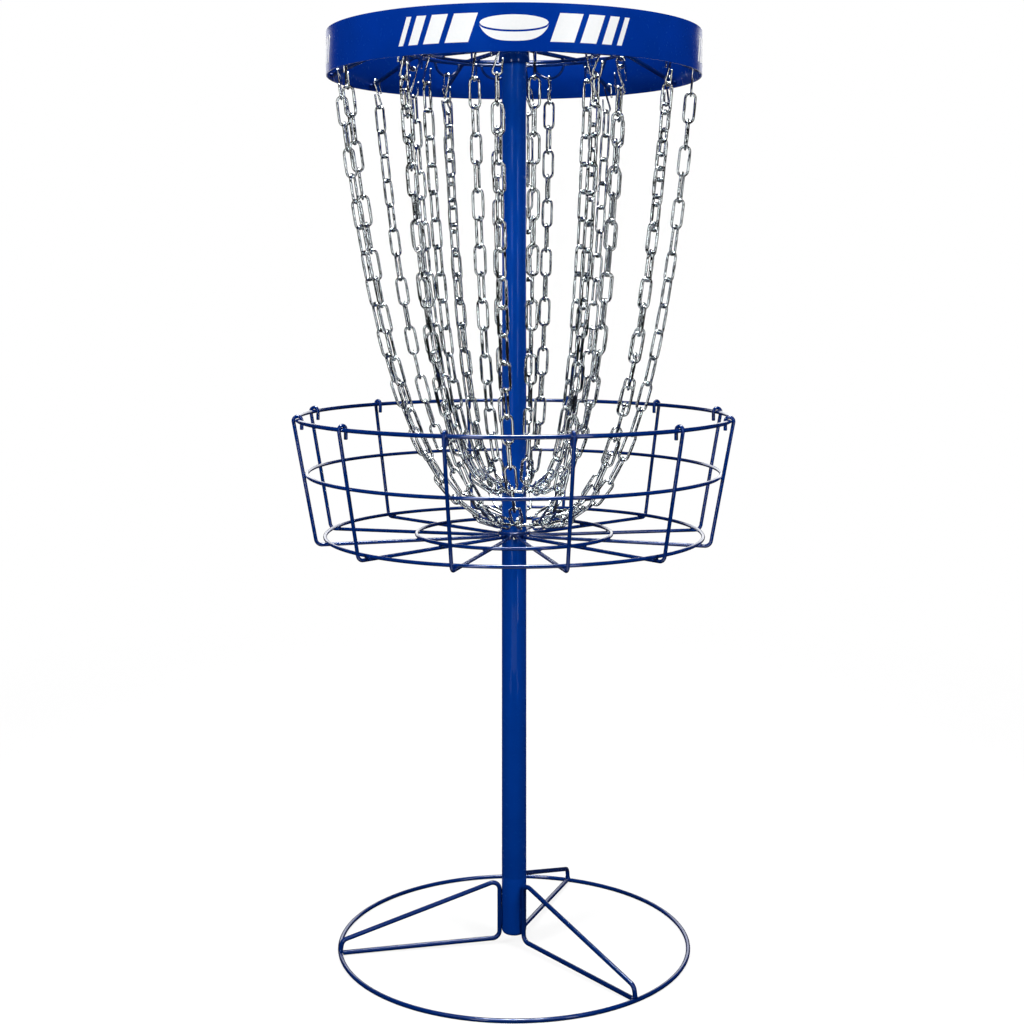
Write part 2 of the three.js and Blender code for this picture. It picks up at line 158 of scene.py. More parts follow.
# Weld beads
WELD_SIDES = 10
WELD_SECTIONS = 7
WELD_LUMPS = 0.12                # how much a bead's thickness varies
WELD_LIFT = 0.0012               # a bead's centre, clear of the face that it's on
LEG_WELD = (0.03, 0.0036)        # each weld bead's length and thickness
LEG_WELD_HEIGHT = 0.045
LEG_WELD_OFFSET = 0.42           # to the side of the leg's centre, in wire diameters
LEG_END_WELD = (0.009, 0.0042)
LEG_END_WELD_PLACES = ((0.0035, 0.0062), (0, 0.0078))    # in from the base ring, and height
RIB_WELD = (0.009, 0.0034)
HUB_WELD = (0.0085, 0.0085)
SUPPORT_RING_WELD = (0.009, 0.0036)
LOOP_WELD = (0.0045, 0.0056)
LOOP_WELD_DROP = 0.0022
BAND_WELD = (0.012, 0.007)
BAND_SEAM = (0.060, 0.0025)

# Chain strands
CHAIN_RING_RADIUS = 0.040
CHAIN_RING_WIRE = 0.005
CHAIN_RING_SEGMENTS = 72
CHAIN_RING_START = 200           # the angle at which the chain rings' points start
CHAIN_WIRE_SIDES = 10
LINK_WIRE = 0.0044
LINK_WIDTH = 0.020
LINK_SIDE_STEPS = 4
LINK_BEND_STEPS = 8
LINK_WELD = 1.16                 # how much thicker a link is at its weld
LINK_LOOSENESS = 7               # how far links roll out of line, in degrees
HOOK_WIRE = 0.0035
HOOK_BEND = 0.0065               # leaves room for the hook to turn on its spoke
HOOK_BEND_STEPS = 14
HOOK_TAIL = 0.018
HOOK_WRAP = 174                  # degrees of bend from the level side of the hook to its tail
HOOK_DROP = 0.0415               # from the supporting wire's centre down to the first link
HOOK_CLEARANCE = 0.0006          # between the hook and the wire that it hangs on
RING_CLEARANCE = 0.0006          # between the last link and the chain ring

STRANDS_PER_TIER = 12
TIERS = {
    "outer": {
        "first_angle": SPOKE_FIRST_ANGLE, "hook_radius": 0.277, "support_wire": SPOKE_WIRE,
        "length": 0.776, "links": 18, "ring_height": 0.6555, "ring_shift": 0.014,
    },
    "inner": {
        "first_angle": SPOKE_FIRST_ANGLE - 180 / SPOKE_COUNT,
        "hook_radius": HOOK_RING_RADIUS, "support_wire": LOOP_WIRE,
        "length": 0.689, "links": 16, "ring_height": 0.7065, "ring_shift": 0.007,
    },
}

# Decals on the band
DECAL_ANGLES = (0, 105, 255)
DECAL_COLUMNS = 40
DECAL_THICKNESS = 0.00025
DECAL_HALF = 0.020               # half the height of the printed marks
DISC_HALF = 0.048                # the pictogram of a disc: an ellipse over a crescent
DISC_RISE = 0.0105
DISC_MIDDLE = 0.0065
DISC_GAP = 0.0028
DISC_RIM = 0.0125
DISC_RIM_POWER = 4               # a higher power gives the crescent a flatter bottom
BAR_WIDTHS = (0.034, 0.024, 0.015, 0.008)
BAR_GAP = 0.009
BAR_SLANT = 0.35

# Studio
CAMERA_PLACE = (0, -2.48, 1.029)
CAMERA_SENSOR = 36
CAMERA_LENS = 56.07
CAMERA_SHIFT = (-0.00205, -0.2255)
LIGHT_AIM = Vector((0, 0, 0.8))
LIGHTS = (                       # name, place, width, height, power, whether gloss mirrors it
    ("front_left", (-1.6, -1.5, 1.8), 0.8, 1.8, 42, False),
    ("front_right", (1.6, -1.5, 1.7), 0.8, 1.8, 37, False),
    ("overhead", (0, 0, 3.6), 0.45, 0.45, 36, True),
    ("back_fill", (0, 2.6, 1.5), 1.2, 1.6, 16, False),
)
CARDS = ((340, 10), (34, 7))     # middle angle and width of each column of panels
CARD_GLOW = 6.5
CARD_DISTANCE = 3.0
PANEL_HEIGHT = 0.38
PANEL_PITCH = 0.62
PANELS = 5
LOW_CARD_HALF = 0.34
LOW_CARD_DEPTH = (-0.85, -0.34)  # in front of the base ring, along Y
LOW_CARD_HEIGHT = 0.3
LOW_CARD_GLOW = 1.1
CEILING_HEIGHT = 4.0
CEILING_HALF = 0.7
CEILING_GLOW = 40.0
BACKDROP_EDGES = (145, 163, 180, 197, 215)
BACKDROP_LOW = 0.8
BACKDROP_HIGH = 2.0
BACKDROP_GLOW = 1.6
FLOOR_RADIUS = 2.5
FLOOR_SEGMENTS = 96
FLOOR_FADE_START = 0.25          # the radius at which the floor starts to fade
FLOOR_OPACITY = 0.4              # at the middle
FLOOR_GLOW = 0.46
SURROUND_FILL = 0.06             # the surround's strength for matte surfaces
SURROUND_SHINE = 0.01            # and for glossy ones


# ---- Points and curves ----

def around(radius, angle, height):
    """A point at a radius from the pole's axis, an angle round it and a height."""
    turn = math.radians(angle)
    return Vector((radius * math.sin(turn), -radius * math.cos(turn), height))


def with_bends(corners, radius, steps=8):
    """The corners with each inner one rounded to an arc of the given radius."""
    points = [corners[0]]
    for before, corner, after in zip(corners, corners[1:], corners[2:]):
        back = (before - corner).normalized()
        ahead = (after - corner).normalized()
        half = back.angle(ahead) / 2
        centre = corner + (back + ahead).normalized() * (radius / math.sin(half))
        spoke = corner + back * (radius / math.tan(half)) - centre
        axis = back.cross(ahead) * -1
        for step in range(steps + 1):
            turn = (math.pi - 2 * half) * step / steps
            points.append(centre + Quaternion(axis, turn) @ spoke)
    points.append(corners[-1])
    return points


def hanging_chain(upper, lower, length):
    """A function from a distance along a hanging chain, from its upper end, to a point on it."""
    flat = Vector((upper.x - lower.x, upper.y - lower.y, 0))
    span = flat.length
    drop = upper.z - lower.z
    slack = math.sqrt(length ** 2 - drop ** 2)
    small, large = CATENARY_SCALES
    for _ in range(CATENARY_PASSES):
        middle = (small + large) / 2
        ratio = span / (2 * middle)
        if ratio > SINH_LIMIT or 2 * middle * math.sinh(ratio) > slack:
            small = middle
        else:
            large = middle
    scale = large
    vertex = span / 2 - scale * math.asinh(drop / (2 * scale * math.sinh(span / (2 * scale))))
    start = scale * math.sinh(-vertex / scale)

    def place(distance):
        arc = start + length - distance
        out = vertex + scale * math.asinh(arc / scale)
        rise = scale * (math.cosh((out - vertex) / scale) - math.cosh(vertex / scale))
        return lower + flat * (out / span) + UP * rise

    return place


# ---- Meshes ----

class Surface:
    """Vertices and faces gathered from several shapes, to become one piece."""

    def __init__(self):
        self.points = []
        self.faces = []

    def add(self, points, faces, transform=None):
        start = len(self.points)
        self.points += [transform @ p for p in points] if transform else points
        self.faces += [[start + corner for corner in face] for face in faces]


def section_frames(points, closed):
    """A tangent and two crosswise directions at each point, turning as little as possible."""
    count = len(points)
    tangents = []
    for index in range(count):
        if closed:
            before, after = points[index - 1], points[(index + 1) % count]
        else:
            before, after = points[max(index - 1, 0)], points[min(index + 1, count - 1)]
        tangents.append((after - before).normalized())
    side = tangents[0].orthogonal().normalized()
    frames = []
    for tangent in tangents:
        side = (side - tangent * side.dot(tangent)).normalized()
        frames.append((tangent, side, tangent.cross(side)))
    return frames


def ring_faces(rings, sides, closed):
    """Quads between neighbouring rings of points."""
    faces = []
    for index in range(rings if closed else rings - 1):
        here, there = index * sides, ((index + 1) % rings) * sides
        for side in range(sides):
            after = (side + 1) % sides
            faces.append([here + side, here + after, there + after, there + side])
    return faces


def wire_shape(points, wire, sides=16, closed=False, swell=None):
    """Round wire along the points, with softly rounded cut ends. swell scales its radius."""
    radii = [wire / 2 * (swell[index] if swell else 1) for index in range(len(points))]
    path = list(points)
    if not closed:
        first = (path[0] - path[1]).normalized()
        last = (path[-1] - path[-2]).normalized()
        cut = wire * CUT_LENGTH
        path = [path[0], path[0] - first * cut] + path[1:-1] + [path[-1] - last * cut, path[-1]]
        radii = [radii[0] * CUT_NARROWING] + radii + [radii[-1] * CUT_NARROWING]
    frames = section_frames(path, closed)
    vertices = []
    for centre, radius, (_, side, up) in zip(path, radii, frames):
        for step in range(sides):
            turn = 2 * math.pi * step / sides
            across, above = radius * math.cos(turn), radius * math.sin(turn)
            vertices.append(centre + side * across + up * above)
    faces = ring_faces(len(path), sides, closed)
    if closed:
        return vertices, matched_seam(faces, vertices, len(path), sides)
    faces.append(list(range(sides))[::-1])
    faces.append([len(vertices) - sides + step for step in range(sides)])
    return vertices, faces


def matched_seam(faces, vertices, rings, sides):
    """Turns the closing faces so that the last ring joins the nearest corners of the first."""
    last = (rings - 1) * sides
    shift = min(range(sides), key=lambda step: (vertices[last] - vertices[step]).length)
    for face in faces[-sides:]:
        face[2] = (face[2] + shift) % sides
        face[3] = (face[3] + shift) % sides
    return faces


def turned_shape(outline, segments=96):
    """A closed outline of (radius, height) points turned round the pole's axis."""
    vertices = []
    for step in range(segments):
        angle = 360 * step / segments
        vertices += [around(radius, angle, height) for radius, height in outline]
    return vertices, ring_faces(segments, len(outline), True)


def strip_ends(vertices):
    """The two end faces of a strip whose sections have four corners each."""
    return [[3, 2, 1, 0], [len(vertices) - 4 + corner for corner in range(4)]]


def softened(outline, reach=0.0005):
    """The outline with every corner cut by a small two-step round."""
    points = []
    count = len(outline)
    for index in range(count):
        corner = Vector(outline[index])
        before = Vector(outline[index - 1]) - corner
        after = Vector(outline[(index + 1) % count]) - corner
        near = min(reach, before.length / 3, after.length / 3)
        one = corner + before.normalized() * near
        two = corner + after.normalized() * near
        points += [one, (one + two + corner * 2) / 4, two]
    return [tuple(point) for point in points]


def circle_points(radius, height, segments, first_angle=0, shift=0.0):
    """Points round a level circle whose centre is shifted along X from the pole's axis."""
    step = 360 / segments
    centre = Vector((shift, 0, 0))
    angles = [first_angle + step * index for index in range(segments)]
    return [around(radius, angle, height) + centre for angle in angles]


def weld_bead(surface, centre, along, length, thickness):
    """A small lumpy bead of weld metal, longer along one direction."""
    across = along.orthogonal().normalized()
    other = along.cross(across)
    vertices = []
    for section in range(WELD_SECTIONS):
        lean = math.pi * (section + 0.5) / WELD_SECTIONS
        lump = 1 + random.uniform(-WELD_LUMPS, WELD_LUMPS)
        for side in range(WELD_SIDES):
            turn = 2 * math.pi * side / WELD_SIDES
            reach = thickness / 2 * math.sin(lean) * lump
            out = across * (reach * math.cos(turn)) + other * (reach * math.sin(turn))
            vertices.append(centre + along * (length / 2 * math.cos(lean)) + out)
    faces = ring_faces(WELD_SECTIONS, WELD_SIDES, False)
    faces.append(list(range(WELD_SIDES))[::-1])
    faces.append([len(vertices) - WELD_SIDES + side for side in range(WELD_SIDES)])
    surface.add(vertices, faces)


# ---- Materials ----

def new_material(name, **sockets):
    """A material with its Principled shader's sockets set, and its node tree."""
    material = bpy.data.materials.new(name)
    material.use_nodes = True
    shader = material.node_tree.nodes["Principled BSDF"]
    for socket, value in sockets.items():
        shader.inputs[socket.replace("_", " ")].default_value = value
    return material, material.node_tree, shader


def object_noise(tree, scale, detail=2.0):
    """Noise in the object's own space. Scale is in features per metre."""
    coordinates = tree.nodes.new("ShaderNodeTexCoord")
    noise = tree.nodes.new("ShaderNodeTexNoise")
    noise.inputs["Scale"].default_value = scale
    noise.inputs["Detail"].default_value = detail
    tree.links.new(coordinates.outputs["Object"], noise.inputs["Vector"])
    return noise.outputs["Fac"]


def vary_colour(tree, shader, factor, low, high):
    """Base colour between two colours, by a noise factor."""
    ramp = tree.nodes.new("ShaderNodeValToRGB")
    for element, position, colour in zip(ramp.color_ramp.elements, NOISE_SPAN, (low, high)):
        element.position = position
        element.color = (*colour, 1)
    tree.links.new(factor, ramp.inputs["Fac"])
    tree.links.new(ramp.outputs["Color"], shader.inputs["Base Color"])


def vary_roughness(tree, shader, factor, low, high):
    """Roughness between two values, by a noise factor."""
    spread = tree.nodes.new("ShaderNodeMapRange")
    spread.inputs["From Min"].default_value = NOISE_SPAN[0]
    spread.inputs["From Max"].default_value = NOISE_SPAN[1]
    spread.inputs["To Min"].default_value = low
    spread.inputs["To Max"].default_value = high
    tree.links.new(factor, spread.inputs["Value"])
    tree.links.new(spread.outputs["Result"], shader.inputs["Roughness"])


def bumped(tree, shader, factor, strength, distance):
    """Surface relief from a noise factor."""
    bump = tree.nodes.new("ShaderNodeBump")
    bump.inputs["Strength"].default_value = strength
    bump.inputs["Distance"].default_value = distance
    tree.links.new(factor, bump.inputs["Height"])
    tree.links.new(bump.outputs["Normal"], shader.inputs["Normal"])


def powder_coat(name, dark, light, shine, skin):
    """Powder coat: a faint orange peel under a clear skin."""
    material, tree, shader = new_material(
        name, Specular_IOR_Level=shine, Specular_Tint=(0.02, 0.18, 0.6, 1), Coat_Weight=skin,
        Coat_Roughness=0.05,
    )
    vary_colour(tree, shader, object_noise(tree, scale=22), dark, light)
    vary_roughness(tree, shader, object_noise(tree, scale=160), low=0.22, high=0.28)
    bumped(tree, shader, object_noise(tree, scale=300, detail=1), strength=0.012, distance=0.0002)
    return material


def zinc_plate(name, dark, light, smooth, rough):
    """Bright zinc plating over drawn wire, slightly patchy."""
    material, tree, shader = new_material(name, Metallic=1.0)
    vary_colour(tree, shader, object_noise(tree, scale=90), dark, light)
    vary_roughness(tree, shader, object_noise(tree, scale=260), smooth, rough)
    bumped(tree, shader, object_noise(tree, scale=350, detail=3), strength=0.3, distance=0.0003)
    return material


def decal_vinyl():
    """White printed vinyl with a fine grain."""
    material, tree, shader = new_material("decal_vinyl", Coat_Weight=0.2, Coat_Roughness=0.15)
    vary_colour(tree, shader, object_noise(tree, scale=300), (0.91, 0.93, 0.94), (0.94, 0.95, 0.96))
    vary_roughness(tree, shader, object_noise(tree, scale=400), low=0.3, high=0.42)
    bumped(tree, shader, object_noise(tree, scale=2200), strength=0.02, distance=0.0001)
    return material


def moulded_plastic():
    """Matte black plastic with a moulded grain."""
    material, tree, shader = new_material("moulded_plastic")
    mottle = object_noise(tree, scale=60)
    vary_colour(tree, shader, mottle, (0.012, 0.012, 0.013), (0.022, 0.022, 0.024))
    vary_roughness(tree, shader, object_noise(tree, scale=200), low=0.45, high=0.6)
    bumped(tree, shader, object_noise(tree, scale=1800), strength=0.3, distance=0.0002)
    return material


# The same blue paint as the band's, made lighter on the pole and socket as painted light, to make up
# for the weaker light that the lamps give them.
FRAME_BLUE_LIGHTENED = powder_coat(
    "frame_blue_painted_light", (0.0008, 0.046, 0.34), (0.0010, 0.052, 0.38), shine=0.4, skin=0.2,
)
# The same blue paint as the frame's, made much darker on the wires as painted shade for their dark
# edges and shaded sides.
WIRE_BLUE_SHADED = powder_coat(
    "wire_blue_painted_shade", (0.0003, 0.018, 0.14), (0.0005, 0.023, 0.18), shine=0.5, skin=1.0,
)
BAND_BLUE = powder_coat(
    "band_blue", (0.0003, 0.029, 0.27), (0.0004, 0.032, 0.31), shine=0.3, skin=0.0,
)
CHAIN_ZINC = zinc_plate(
    "chain_zinc", (0.68, 0.72, 0.74), (0.89, 0.94, 0.96), smooth=0.04, rough=0.10,
)
SPRING_STEEL = zinc_plate(
    "spring_steel", (0.50, 0.51, 0.52), (0.66, 0.67, 0.68), smooth=0.2, rough=0.35,
)
DECAL_WHITE = decal_vinyl()
BLACK_PLASTIC = moulded_plastic()


# ---- Pieces ----

def make_piece(name, surface, material, body, replaced=(), sharp=40):
    """One visible piece of the object, riding on a CAD body."""
    mesh = bpy.data.meshes.new(name)
    mesh.from_pydata(surface.points, [], surface.faces)
    mesh.validate()
    mesh.shade_smooth()
    mesh.set_sharp_from_angle(angle=math.radians(sharp))
    mesh.materials.append(material)
    piece = bpy.data.objects.new(name, mesh)
    bpy.context.scene.collection.objects.link(piece)
    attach(piece, body)
    if replaced:
        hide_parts(*replaced)
    return piece


def surface_of(*shapes):
    """One surface gathered from shapes, each a list of points and a list of faces."""
    surface = Surface()
    for points, faces in shapes:
        surface.add(points, faces)
    return surface


def wire_ring(name, radius, height, wire, body, node, weld=1.12):
    """A ring of round wire with the swelling of its butt weld at the back."""
    points = circle_points(radius, height, RING_SEGMENTS, 180)
    swell = [1.0] * RING_SEGMENTS
    swell[0] = weld
    swell[1] = swell[-1] = (1 + weld) / 2
    surface = surface_of(wire_shape(points, wire, closed=True, swell=swell))
    make_piece(name, surface, WIRE_BLUE_SHADED, body, [node])


def tube_outline(outer, inner, bottom, top):
    """The outline of a plain tube's wall, with its four edges softened."""
    return softened([(inner, bottom), (outer, bottom), (outer, top), (inner, top)])


# Base

def leg_points(angle):
    """The centre line of one bent leg, from the base ring round to the base ring."""
    along = POLE_RADIUS + BASE_WIRE / 2 + GAP
    low = BASE_WIRE * LEG_LOW
    corners = [
        around(BASE_RING_RADIUS - BASE_WIRE / 2 - GAP, angle, low),
        around(along, angle, low + LEG_RISE),
        around(along, angle, LEG_TOP),
        around(BASE_RING_RADIUS - LEG_OUTER_INSET, angle, LEG_OUTER_HEIGHT),
        around(BASE_RING_RADIUS, angle, BASE_WIRE + GAP),
    ]
    return with_bends(corners, LEG_BEND)


def make_base():
    """The ring on the ground, three legs bent from one bar each, and the socket between them."""
    wire_ring("ground_ring", BASE_RING_RADIUS, BASE_RING_WIRE / 2, BASE_RING_WIRE, "base",
              "base_ring", weld=1.0)
    welds = Surface()
    for index, angle in enumerate(LEG_ANGLES):
        leg = surface_of(wire_shape(leg_points(angle), BASE_WIRE))
        make_piece(f"bent_leg_{index + 1}", leg, WIRE_BLUE_SHADED, "base",
                   [f"base_leg_{index + 1}"])
        add_leg_welds(welds, angle)
    make_piece("base_welds", welds, WIRE_BLUE_SHADED, "base")
    make_socket()


def add_leg_welds(welds, angle):
    """A bead on each side of a leg along the socket, and one at each end of it on the ring."""
    tangent = around(1, angle + 90, 0)
    on_socket = around(POLE_RADIUS + WELD_LIFT, angle, LEG_WELD_HEIGHT)
    for side in (-1, 1):
        offset = tangent * (side * BASE_WIRE * LEG_WELD_OFFSET)
        weld_bead(welds, on_socket + offset, UP, *LEG_WELD)
    for inset, height in LEG_END_WELD_PLACES:
        weld_bead(welds, around(BASE_RING_RADIUS - inset, angle, height), tangent, *LEG_END_WELD)


def make_socket():
    """The short tube between the legs, with a rounded foot and the spigot for the lower pole."""
    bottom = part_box("base_socket")[0][2]
    bore, spigot_bore = POLE_RADIUS - POLE_WALL, SPIGOT_RADIUS - POLE_WALL
    spigot_tip = SOCKET_TOP + SPIGOT_LENGTH
    neck_end, neck_start = [SOCKET_TOP - drop for drop in SOCKET_NECK]
    foot = []
    for turn in SOCKET_FOOT_TURNS:
        radius = POLE_RADIUS - SOCKET_FOOT * (1 - math.sin(turn))
        foot.append((radius, bottom + SOCKET_FOOT * (1 - math.cos(turn))))
    shoulder = softened([
        (POLE_RADIUS, SOCKET_TOP), (SPIGOT_RADIUS, SOCKET_TOP), (SPIGOT_RADIUS, spigot_tip),
        (spigot_bore, spigot_tip),
    ])
    inside = [
        (spigot_bore, neck_end), (bore, neck_start),
        (bore, bottom + SOCKET_LIP), (bore - SOCKET_LIP, bottom + SOCKET_LIP_EDGE),
    ]
    socket = surface_of(turned_shape(foot + shoulder + inside))
    make_piece("socket_tube", socket, FRAME_BLUE_LIGHTENED, "base", ["base_socket"])


# Pole

def drilled(piece, radius, height):
    """Cuts a hole through the front wall of a tube."""
    bpy.ops.mesh.primitive_cylinder_add(
        vertices=BUTTON_SIDES, radius=radius, depth=DRILL_LENGTH,
        location=(0, -POLE_RADIUS, height), rotation=(math.pi / 2, 0, 0),
    )
    cutter = bpy.context.object
    cut = piece.modifiers.new("button_hole", "BOOLEAN")
    cut.object = cutter
    cut.operation = "DIFFERENCE"
    bpy.context.view_layer.objects.active = piece
    bpy.ops.object.modifier_apply(modifier=cut.name)
    bpy.data.objects.remove(cutter)


def make_lower_pole():
    """The tube with a spigot at its top and a hole for the snap button."""
    bore, spigot_bore = POLE_RADIUS - POLE_WALL, SPIGOT_RADIUS - POLE_WALL
    bottom = SOCKET_TOP + GAP
    spigot_tip = LOWER_POLE_TOP + SPIGOT_LENGTH
    neck_end, neck_start = [LOWER_POLE_TOP - drop for drop in LOWER_POLE_NECK]
    outline = softened([
        (bore, bottom), (POLE_RADIUS, bottom), (POLE_RADIUS, LOWER_POLE_TOP),
        (SPIGOT_RADIUS, LOWER_POLE_TOP), (SPIGOT_RADIUS, spigot_tip), (spigot_bore, spigot_tip),
        (spigot_bore, neck_end), (bore, neck_start),
    ], LOWER_POLE_ROUND)
    pole = make_piece("lower_tube", surface_of(turned_shape(outline)), FRAME_BLUE_LIGHTENED, "lower_pole",
                      ["lower_pole"], sharp=30)
    low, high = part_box("snap_button")
    drilled(pole, BUTTON_HOLE, (low[2] + high[2]) / 2)


def make_snap_button():
    """A domed button on a flange, turned about a level axis from front to back."""
    low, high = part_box("snap_button")
    height = (low[2] + high[2]) / 2
    front, back = -low[1], -high[1]
    flange = back + FLANGE_THICKNESS
    profile = [(radius, front - depth) for radius, depth in BUTTON_DOME]
    profile += [
        (BUTTON_RADIUS, flange), (FLANGE_RADIUS - FLANGE_EDGE, flange),
        (FLANGE_RADIUS, flange - FLANGE_EDGE), (FLANGE_RADIUS, back), (0, back),
    ]
    vertices = []
    for step in range(BUTTON_SIDES):
        turn = 2 * math.pi * step / BUTTON_SIDES
        for radius, out in profile:
            reach = max(radius, ON_AXIS)
            vertices.append(Vector((reach * math.cos(turn), -out, height + reach * math.sin(turn))))
    count = len(profile)
    faces = ring_faces(BUTTON_SIDES, count, True)
    faces = [face for face in faces if {face[0] % count, face[1] % count} != {0, count - 1}]
    faces.append([count * step for step in range(BUTTON_SIDES)])
    faces.append([count * step + count - 1 for step in range(BUTTON_SIDES)][::-1])
    surface = surface_of((vertices, faces))
    make_piece("button_pin", surface, CHAIN_ZINC, "snap_button", ["snap_button"])
    make_button_spring()


def make_button_spring():
    """The V of flat spring steel that pushes the button out."""
    low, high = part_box("button_spring")
    fold = Vector((0, 0, low[2] + SPRING_FOLD))
    front_end, back_end = Vector((0, low[1], high[2])), Vector((0, high[1], high[2]))
    line = with_bends([front_end, fold, back_end], SPRING_BEND)
    side = Vector((1, 0, 0))
    half_width = side * SPRING_HALF_WIDTH
    vertices = []
    for point, (tangent, _, _) in zip(line, section_frames(line, False)):
        half_thick = tangent.cross(side) * SPRING_HALF_THICKNESS
        vertices += [
            point + half_width + half_thick, point - half_width + half_thick,
            point - half_width - half_thick, point + half_width - half_thick,
        ]
    faces = ring_faces(len(line), 4, False) + strip_ends(vertices)
    surface = surface_of((vertices, faces))
    make_piece("leaf_spring", surface, SPRING_STEEL, "snap_button", ["button_spring"])


def make_upper_pole():
    """The plain tube that slides over the lower pole's spigot, and its cap."""
    low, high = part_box("upper_pole")
    outline = tube_outline(POLE_RADIUS, POLE_RADIUS - POLE_WALL, low[2], high[2])
    make_piece("upper_tube", surface_of(turned_shape(outline)), FRAME_BLUE_LIGHTENED, "mast",
               ["upper_pole"])
    make_pole_cap()


def make_pole_cap():
    """A crowned plastic plug with a skirt inside the pole."""
    low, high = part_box("pole_cap")
    rim, top = low[2], high[2]
    skirt = POLE_RADIUS - POLE_WALL - GAP
    skirt_bore = skirt - CAP_SKIRT_WALL
    outline = [(radius, top - depth) for radius, depth in CAP_CROWN]
    outline += [
        (POLE_RADIUS, rim), (skirt, rim), (skirt, rim - CAP_SKIRT), (skirt_bore, rim - CAP_SKIRT),
        (skirt_bore, rim), (ON_AXIS, rim),
    ]
    cap = surface_of(turned_shape(outline, CAP_SEGMENTS))
    make_piece("end_plug", cap, BLACK_PLASTIC, "mast", ["pole_cap"])


# Catching basket

def floor_height(radius):
    """The height of a floor ring's centre line at a radius: the floor drops outwards."""
    return HUB_RING_HEIGHT - FLOOR_SLOPE * (radius - HUB_RING_RADIUS)


def rib_points(angle):
    """One rib, from its tail inside the rim, over it, down the wall and in to the hub."""
    outside = RIB_WIRE / 2 + GAP
    rim_outside = RIM_RADIUS + RIM_WIRE / 2 + outside
    tail = RIM_RADIUS - RIM_WIRE / 2 - outside
    loop_radius = (rim_outside - tail) / 2
    under = BASKET_WIRE / 2 + outside
    points = [around(tail, angle, RIM_HEIGHT - drop) for drop in (RIB_TAIL, RIB_TAIL / 2)]
    for step in range(RIB_LOOP_STEPS + 1):
        turn = math.pi * step / RIB_LOOP_STEPS
        reach = RIM_RADIUS - loop_radius * math.cos(turn)
        points.append(around(reach, angle, RIM_HEIGHT + loop_radius * math.sin(turn)))
    wall = with_bends([
        points[-1],
        around(RIB_CORNER_RADIUS, angle, floor_height(RIB_CORNER_RADIUS) - under),
        around(RIB_END_RADIUS, angle, floor_height(RIB_END_RADIUS) - under),
    ], RIB_CORNER_BEND)
    return points + wall[1:]


def wall_radius(height):
    """The radius of a rib's centre line at a height on the basket's wall."""
    rim_outside = RIM_RADIUS + RIM_WIRE / 2 + RIB_WIRE / 2 + GAP
    floor = floor_height(RIB_CORNER_RADIUS) - BASKET_WIRE - GAP
    share = (height - floor) / (RIM_HEIGHT - floor)
    return RIB_CORNER_RADIUS + (rim_outside - RIB_CORNER_RADIUS) * share


def make_basket():
    """Five level rings, twelve ribs hooked over the rim, and the beads where they cross."""
    rings = (
        ("rim_wire", RIM_RADIUS, RIM_HEIGHT, RIM_WIRE, "rim_ring"),
        ("middle_wire", MID_RADIUS, MID_HEIGHT, BASKET_WIRE, "middle_ring"),
        ("floor_outer_wire", FLOOR_OUTER_RADIUS, floor_height(FLOOR_OUTER_RADIUS), BASKET_WIRE,
         "floor_outer_ring"),
        ("floor_inner_wire", FLOOR_INNER_RADIUS, floor_height(FLOOR_INNER_RADIUS), BASKET_WIRE,
         "floor_inner_ring"),
        ("hub_wire", HUB_RING_RADIUS, HUB_RING_HEIGHT, BASKET_WIRE, "basket_hub"),
    )
    for name, radius, height, wire, node in rings:
        wire_ring(name, radius, height, wire, "basket", node)
    welds = Surface()
    for index in range(RIB_COUNT):
        angle = RIB_FIRST_ANGLE + 360 * index / RIB_COUNT
        rib = surface_of(wire_shape(rib_points(angle), RIB_WIRE))
        make_piece(f"rib_wire_{index + 1}", rib, WIRE_BLUE_SHADED, "basket",
                   [f"basket_rib_{index + 1}"])
        add_rib_welds(welds, angle)
    make_piece("basket_welds", welds, WIRE_BLUE_SHADED, "basket")


def add_rib_welds(welds, angle):
    """Weld beads where one rib crosses the basket's rings."""
    tangent = around(1, angle + 90, 0)
    under = BASKET_WIRE / 2 + GAP / 2
    crossings = [around((MID_RADIUS + wall_radius(MID_HEIGHT)) / 2, angle, MID_HEIGHT),
                 around(RIM_RADIUS + RIM_WIRE / 2, angle, RIM_HEIGHT)]
    crossings += [around(radius, angle, floor_height(radius) - under)
                  for radius in (FLOOR_OUTER_RADIUS, FLOOR_INNER_RADIUS, RIB_ROOT_WELD_RADIUS)]
    for crossing in crossings:
        weld_bead(welds, crossing, tangent, *RIB_WELD)


# Target band and its decals

def make_band():
    """The sheet-metal band, the beads at the spokes' ends and the seam at the back."""
    low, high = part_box("target_band")
    outline = tube_outline(BAND_RADIUS, BAND_RADIUS - BAND_WALL, low[2], high[2])
    band = surface_of(turned_shape(outline, BAND_SEGMENTS))
    make_piece("band_sheet", band, BAND_BLUE, "mast", ["target_band"])
    welds = Surface()
    for index in range(SPOKE_COUNT):
        angle = SPOKE_FIRST_ANGLE + 360 * index / SPOKE_COUNT
        tangent = around(1, angle + 90, 0)
        spoke_end = around(SPOKE_END_RADIUS + WELD_LIFT, angle, SPOKE_END_HEIGHT)
        weld_bead(welds, spoke_end, tangent, *BAND_WELD)
    seam = around(BAND_RADIUS - BAND_WALL, 180, (low[2] + high[2]) / 2)
    weld_bead(welds, seam, UP, *BAND_SEAM)
    make_piece("band_welds", welds, BAND_BLUE, "mast")


